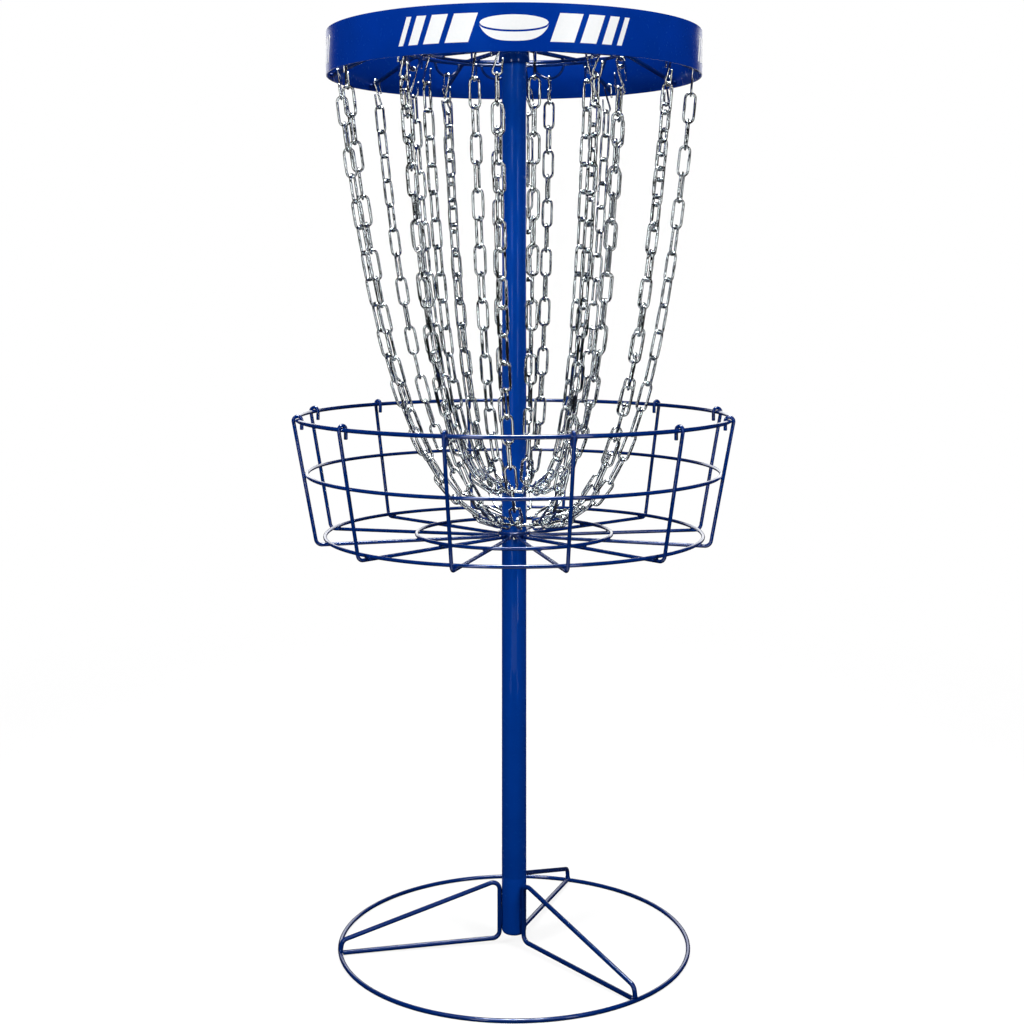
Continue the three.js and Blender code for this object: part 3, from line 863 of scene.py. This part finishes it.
def decal_strip(surface, middle_angle, start, end, low_edge, high_edge, slant=0.0):
    """Part of a decal wrapped on the band. The edges are heights as functions of arc length."""
    low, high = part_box("target_band")
    centre = (low[2] + high[2]) / 2
    vertices = []
    for column in range(DECAL_COLUMNS + 1):
        arc = start + (end - start) * column / DECAL_COLUMNS
        bottom, top = low_edge(arc), high_edge(arc)
        for lift, rise in ((0, bottom), (DECAL_THICKNESS, bottom), (DECAL_THICKNESS, top), (0, top)):
            angle = middle_angle + math.degrees((arc + slant * rise) / BAND_RADIUS)
            vertices.append(around(BAND_RADIUS + lift, angle, centre + rise))
    surface.add(vertices, ring_faces(DECAL_COLUMNS + 1, 4, False) + strip_ends(vertices))


def add_disc_mark(surface, angle):
    """A flying disc seen a little from above: its round top, and its rim as a crescent below."""
    def swell(arc):
        return DISC_RISE * math.sqrt(max(1 - (arc / DISC_HALF) ** 2, 0))

    def rim_top(arc):
        return DISC_MIDDLE - DISC_GAP - swell(arc)

    def rim_bottom(arc):
        return rim_top(arc) - DISC_RIM * (1 - (arc / DISC_HALF) ** DISC_RIM_POWER)

    decal_strip(surface, angle, -DISC_HALF, DISC_HALF,
                lambda arc: DISC_MIDDLE - swell(arc), lambda arc: DISC_MIDDLE + swell(arc))
    decal_strip(surface, angle, -DISC_HALF, DISC_HALF, rim_bottom, rim_top)


def add_speed_bars(surface, angle):
    """Slanted bars on both sides of the disc, each narrower than the one before."""
    for side in (-1, 1):
        near = DISC_HALF + BAR_GAP
        for width in BAR_WIDTHS:
            start, end = sorted((side * near, side * (near + width)))
            decal_strip(surface, angle, start, end,
                        lambda arc: -DECAL_HALF, lambda arc: DECAL_HALF, BAR_SLANT)
            near += width + BAR_GAP


def make_decals():
    """The same generic marks at the front and at both sides of the band."""
    for index, angle in enumerate(DECAL_ANGLES):
        surface = Surface()
        add_disc_mark(surface, angle)
        add_speed_bars(surface, angle)
        make_piece(f"disc_decal_{index + 1}", surface, DECAL_WHITE, "mast")


# Chain support

def spoke_points(angle):
    """The centre line of one spoke, level from the hub and then sloping down to the band."""
    return with_bends([
        around(SUPPORT_HUB_RADIUS - SPOKE_ROOT, angle, SPOKE_HEIGHT),
        around(SPOKE_KNEE_RADIUS, angle, SPOKE_HEIGHT),
        around(SPOKE_END_RADIUS, angle, SPOKE_END_HEIGHT),
    ], SPOKE_BEND)


def make_chain_support():
    """The hub with its spokes, and the two rings welded under them."""
    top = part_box("chain_support")[1][2]
    bore = POLE_RADIUS + GAP
    hub = tube_outline(SUPPORT_HUB_RADIUS, bore, top - SUPPORT_HUB_LENGTH, top)
    surface = surface_of(turned_shape(hub))
    for index in range(SPOKE_COUNT):
        angle = SPOKE_FIRST_ANGLE + 360 * index / SPOKE_COUNT
        surface.add(*wire_shape(spoke_points(angle), SPOKE_WIRE))
        tangent = around(1, angle + 90, 0)
        weld_bead(surface, around(SUPPORT_HUB_RADIUS, angle, SPOKE_HEIGHT), tangent, *HUB_WELD)
        for radius in (SPOKE_RING_RADIUS, HOOK_RING_RADIUS):
            crossing = around(radius, angle, SPOKE_HEIGHT - SPOKE_WIRE / 2 - GAP / 2)
            weld_bead(surface, crossing, tangent, *SUPPORT_RING_WELD)
    make_piece("spoke_spider", surface, WIRE_BLUE_SHADED, "mast", ["chain_support"])
    small_ring = support_ring(SPOKE_RING_RADIUS)
    make_piece("small_ring", small_ring, WIRE_BLUE_SHADED, "mast", ["spoke_ring"])
    make_hook_ring()


def support_ring(radius):
    """One of the two level rings welded under the spokes."""
    circle = circle_points(radius, SUPPORT_RING_HEIGHT, RING_SEGMENTS)
    return surface_of(wire_shape(circle, SUPPORT_RING_WIRE, closed=True))


def make_hook_ring():
    """The larger support ring and the half-round loops under it, one for each inner strand."""
    surface = support_ring(HOOK_RING_RADIUS)
    half = math.degrees(LOOP_HALF_WIDTH / HOOK_RING_RADIUS)
    for index in range(SPOKE_COUNT):
        middle = TIERS["inner"]["first_angle"] + 360 * index / SPOKE_COUNT
        loop = []
        for step in range(-LOOP_STEPS, LOOP_STEPS + 1):
            turn = math.pi * step / (2 * LOOP_STEPS)
            height = SUPPORT_RING_HEIGHT - LOOP_DEPTH * math.cos(turn)
            loop.append(around(HOOK_RING_RADIUS, middle + half * math.sin(turn), height))
        surface.add(*wire_shape(loop, LOOP_WIRE))
        for end in (loop[0], loop[-1]):
            weld_bead(surface, end - UP * LOOP_WELD_DROP, UP, *LOOP_WELD)
    make_piece("looped_ring", surface, WIRE_BLUE_SHADED, "mast", ["hook_ring"])


# Chain strands

def link_shape(pitch):
    """One long link, standing along Z about its middle, with its weld on one side."""
    bend = (LINK_WIDTH - LINK_WIRE) / 2
    straight = (pitch + LINK_WIRE) / 2 - bend
    points, swell = [], []
    for side in (1, -1):
        for step in range(LINK_SIDE_STEPS + 1):
            height = side * straight * (2 * step / LINK_SIDE_STEPS - 1)
            points.append(Vector((side * bend, 0, height)))
            swell.append(LINK_WELD if side > 0 and step == LINK_SIDE_STEPS // 2 else 1.0)
        for step in range(1, LINK_BEND_STEPS):
            turn = math.pi * step / LINK_BEND_STEPS
            height = side * (straight + bend * math.sin(turn))
            points.append(Vector((side * bend * math.cos(turn), 0, height)))
            swell.append(1.0)
    return wire_shape(points, LINK_WIRE, sides=CHAIN_WIRE_SIDES, closed=True, swell=swell)


def hook_shape(support_wire):
    """An S hook in the XZ plane that hangs on a wire at the origin. Both ends are alike."""
    upper = Vector((0, 0, (support_wire + HOOK_WIRE) / 2 + HOOK_CLEARANCE - HOOK_BEND))
    lower = Vector((0, 0, HOOK_BEND - HOOK_DROP - HOOK_WIRE / 2))
    lean = math.degrees(math.asin(2 * HOOK_BEND / (upper.z - lower.z)))
    half = []
    for step in range(HOOK_BEND_STEPS + 1):
        turn = math.radians(HOOK_WRAP - (HOOK_WRAP + lean) * step / HOOK_BEND_STEPS)
        half.append(upper + Vector((math.cos(turn), 0, math.sin(turn))) * HOOK_BEND)
    tail_turn = math.radians(HOOK_WRAP)
    tail = Vector((-math.sin(tail_turn), 0, math.cos(tail_turn))) * HOOK_TAIL
    half.insert(0, half[0] + tail)
    other_half = [upper + lower - point for point in reversed(half)]
    return wire_shape(half + other_half, HOOK_WIRE, sides=CHAIN_WIRE_SIDES)


def standing_frame(origin, down, thickness):
    """A transform that stands a shape's Z axis against down, with its Y axis along thickness."""
    up = -down.normalized()
    across = thickness.cross(up).normalized()
    flat = up.cross(across)
    turn = Matrix((across, flat, up)).transposed().to_4x4()
    return Matrix.Translation(origin) @ turn


def ring_point(tier, angle):
    """The place on a tier's chain ring that a strand's last link is threaded on."""
    shift = Vector((tier["ring_shift"], 0, 0))
    return around(CHAIN_RING_RADIUS, angle, tier["ring_height"]) + shift


def strand_surface(tier, angle, link):
    """The S hook and the links of one strand, hanging from its support to its chain ring."""
    support, ring = strand_top(tier, angle), ring_point(tier, angle)
    place = hanging_chain(support, ring, tier["length"])
    plane_normal = (support - ring).cross(UP).normalized()
    on_spoke = tier["support_wire"] == SPOKE_WIRE
    hook_down = place(HOOK_DROP) - support
    hook_flat = hook_down.cross(plane_normal) if on_spoke else plane_normal
    surface = Surface()
    surface.add(*hook_shape(tier["support_wire"]), standing_frame(support, hook_down, hook_flat))
    pitch, last = link_pitch(tier), tier["links"] - 1
    twist = random.choice((-1, 1)) * 90 if on_spoke else 0
    start_roll = 0 if on_spoke else 90
    for index in range(last + 1):
        above = place(HOOK_DROP + pitch * index)
        below = place(HOOK_DROP + pitch * (index + 1))
        down = below - above
        loose = 0 if index in (0, last) else random.uniform(-LINK_LOOSENESS, LINK_LOOSENESS)
        roll = start_roll + 90 * index + twist * index / last + loose
        normal = Quaternion(down.normalized(), math.radians(roll)) @ plane_normal
        surface.add(*link, standing_frame((above + below) / 2, down, normal))
    return surface


def strand_top(tier, angle):
    """The centre of the wire that a strand's hook hangs on."""
    if tier["support_wire"] == LOOP_WIRE:
        return around(tier["hook_radius"], angle, SUPPORT_RING_HEIGHT - LOOP_DEPTH)
    share = (tier["hook_radius"] - SPOKE_KNEE_RADIUS) / (SPOKE_END_RADIUS - SPOKE_KNEE_RADIUS)
    height = SPOKE_HEIGHT + (SPOKE_END_HEIGHT - SPOKE_HEIGHT) * share
    return around(tier["hook_radius"], angle, height)


def link_pitch(tier):
    """The length of strand that each link takes up, from the hook to the chain ring."""
    return (tier["length"] + CHAIN_RING_WIRE / 2 + RING_CLEARANCE - HOOK_DROP) / tier["links"]


def make_chains():
    """Both tiers of strands, and the loose ring that gathers each tier's lower ends."""
    for name, tier in TIERS.items():
        link = link_shape(link_pitch(tier))
        for index in range(STRANDS_PER_TIER):
            angle = tier["first_angle"] + 360 * index / STRANDS_PER_TIER
            node = f"{name}_strand_{index + 1}"
            surface = strand_surface(tier, angle, link)
            make_piece(f"{name}_links_{index + 1}", surface, CHAIN_ZINC, node, [node])
        points = circle_points(CHAIN_RING_RADIUS, tier["ring_height"], CHAIN_RING_SEGMENTS,
                               CHAIN_RING_START, tier["ring_shift"])
        ring = surface_of(wire_shape(points, CHAIN_RING_WIRE, closed=True))
        make_piece(f"{name}_ring_wire", ring, CHAIN_ZINC, "mast",
                   [f"{name}_chain_ring"])


# ---- Studio ----

def make_camera():
    """A level camera at the height of the upper chains, framed lower by its shift."""
    camera = bpy.data.objects.new("camera", bpy.data.cameras.new("camera"))
    bpy.context.scene.collection.objects.link(camera)
    camera.location = CAMERA_PLACE
    camera.rotation_euler = (math.pi / 2, 0, 0)
    camera.data.sensor_width = CAMERA_SENSOR
    camera.data.lens = CAMERA_LENS
    camera.data.shift_x, camera.data.shift_y = CAMERA_SHIFT
    bpy.context.scene.camera = camera


def make_light(name, location, width, height, power, shine):
    """A soft box aimed at the object. Without shine it lights it but isn't mirrored in it."""
    light = bpy.data.lights.new(name, "AREA")
    light.shape = "RECTANGLE"
    light.size, light.size_y = width, height
    light.energy = power
    lamp = bpy.data.objects.new(name, light)
    lamp.location = location
    aim = LIGHT_AIM - Vector(location)
    lamp.rotation_euler = aim.to_track_quat("-Z", "Y").to_euler()
    lamp.visible_glossy = shine
    bpy.context.scene.collection.objects.link(lamp)


def make_card(name, corners, faces, glow):
    """A glowing white card that only glossy surfaces see."""
    material, _, _ = new_material(
        name, Base_Color=(0, 0, 0, 1), Emission_Color=(1, 1, 1, 1), Emission_Strength=glow,
    )
    mesh = bpy.data.meshes.new(name)
    mesh.from_pydata(corners, [], faces)
    mesh.materials.append(material)
    card = bpy.data.objects.new(name, mesh)
    card.visible_camera = False
    card.visible_diffuse = False
    card.visible_shadow = False
    card.visible_transmission = False
    bpy.context.scene.collection.objects.link(card)


def card_panel(corners, faces, edges, bottom, top):
    """Adds an upright panel that follows a circle round the object through the edges' angles."""
    start, count = len(corners), len(edges)
    corners += [around(CARD_DISTANCE, edge, height) for height in (bottom, top) for edge in edges]
    faces += [(start + step, start + step + 1, start + count + step + 1, start + count + step)
              for step in range(count - 1)]


def level_card(name, half_width, depth, height, glow):
    """A level rectangle, as wide to the left as to the right, between two places along Y."""
    front, back = depth
    corners = [
        Vector((-half_width, front, height)), Vector((half_width, front, height)),
        Vector((half_width, back, height)), Vector((-half_width, back, height)),
    ]
    make_card(name, corners, [(0, 1, 2, 3)], glow)


def make_reflection_cards():
    """Columns of panels in front, a backdrop, a ceiling and a low card, for streaks in gloss.

    The second column's panels stand half a pitch higher than the first one's.
    """
    for index, (middle, width) in enumerate(CARDS):
        corners, faces = [], []
        edges = (middle - width / 2, middle, middle + width / 2)
        for panel in range(PANELS):
            bottom = PANEL_PITCH * (panel + index / 2)
            card_panel(corners, faces, edges, bottom, bottom + PANEL_HEIGHT)
        make_card(f"reflection_card_{index + 1}", corners, faces, CARD_GLOW)
    corners, faces = [], []
    card_panel(corners, faces, BACKDROP_EDGES, BACKDROP_LOW, BACKDROP_HIGH)
    make_card("backdrop_card", corners, faces, BACKDROP_GLOW)
    level_card("ceiling_card", CEILING_HALF, (-CEILING_HALF, CEILING_HALF), CEILING_HEIGHT,
               CEILING_GLOW)
    level_card("low_card", LOW_CARD_HALF, LOW_CARD_DEPTH, LOW_CARD_HEIGHT, LOW_CARD_GLOW)


def make_floor():
    """A pale floor that fades out into the white surround."""
    rim = circle_points(FLOOR_RADIUS, 0, FLOOR_SEGMENTS)
    mesh = bpy.data.meshes.new("floor")
    mesh.from_pydata(rim, [], [list(range(FLOOR_SEGMENTS))])
    material, tree, shader = new_material("studio_floor", Roughness=0.9)
    vary_colour(tree, shader, object_noise(tree, scale=3), (0.84, 0.84, 0.84), (0.88, 0.88, 0.88))
    shader.inputs["Emission Color"].default_value = (1, 1, 1, 1)
    shader.inputs["Emission Strength"].default_value = FLOOR_GLOW
    coordinates = tree.nodes.new("ShaderNodeTexCoord")
    length = tree.nodes.new("ShaderNodeVectorMath")
    length.operation = "LENGTH"
    fade = tree.nodes.new("ShaderNodeMapRange")
    fade.interpolation_type = "SMOOTHSTEP"
    fade.inputs["From Min"].default_value = FLOOR_FADE_START
    fade.inputs["From Max"].default_value = FLOOR_RADIUS
    fade.inputs["To Min"].default_value = FLOOR_OPACITY
    fade.inputs["To Max"].default_value = 0.0
    tree.links.new(coordinates.outputs["Object"], length.inputs[0])
    tree.links.new(length.outputs["Value"], fade.inputs["Value"])
    tree.links.new(fade.outputs["Result"], shader.inputs["Alpha"])
    mesh.materials.append(material)
    floor = bpy.data.objects.new("floor", mesh)
    floor.visible_diffuse = False
    floor.visible_glossy = False
    bpy.context.scene.collection.objects.link(floor)


def make_surround():
    """An even white surround that looks brighter to the camera than to the object's surfaces."""
    world = bpy.data.worlds.new("studio")
    bpy.context.scene.world = world
    world.use_nodes = True
    tree = world.node_tree
    background = tree.nodes["Background"]
    background.inputs["Color"].default_value = (1, 1, 1, 1)
    ray = tree.nodes.new("ShaderNodeLightPath")
    level = None
    for kind, strength in (("Is Diffuse Ray", SURROUND_FILL), ("Is Glossy Ray", SURROUND_SHINE)):
        lower = tree.nodes.new("ShaderNodeMapRange")
        lower.inputs["To Min"].default_value = 1.0
        lower.inputs["To Max"].default_value = strength
        if level:
            tree.links.new(level, lower.inputs["To Min"])
        tree.links.new(ray.outputs[kind], lower.inputs["Value"])
        level = lower.outputs["Result"]
    tree.links.new(level, background.inputs["Strength"])


def make_studio():
    """A pale floor, a white surround, soft lights, and cards that only gloss mirrors."""
    bpy.context.scene.view_settings.view_transform = "Standard"
    make_reflection_cards()
    make_floor()
    make_surround()
    for light in LIGHTS:
        make_light(*light)


make_camera()
make_studio()
make_base()
make_lower_pole()
make_snap_button()
make_upper_pole()
make_basket()
make_band()
make_decals()
make_chain_support()
make_chains()
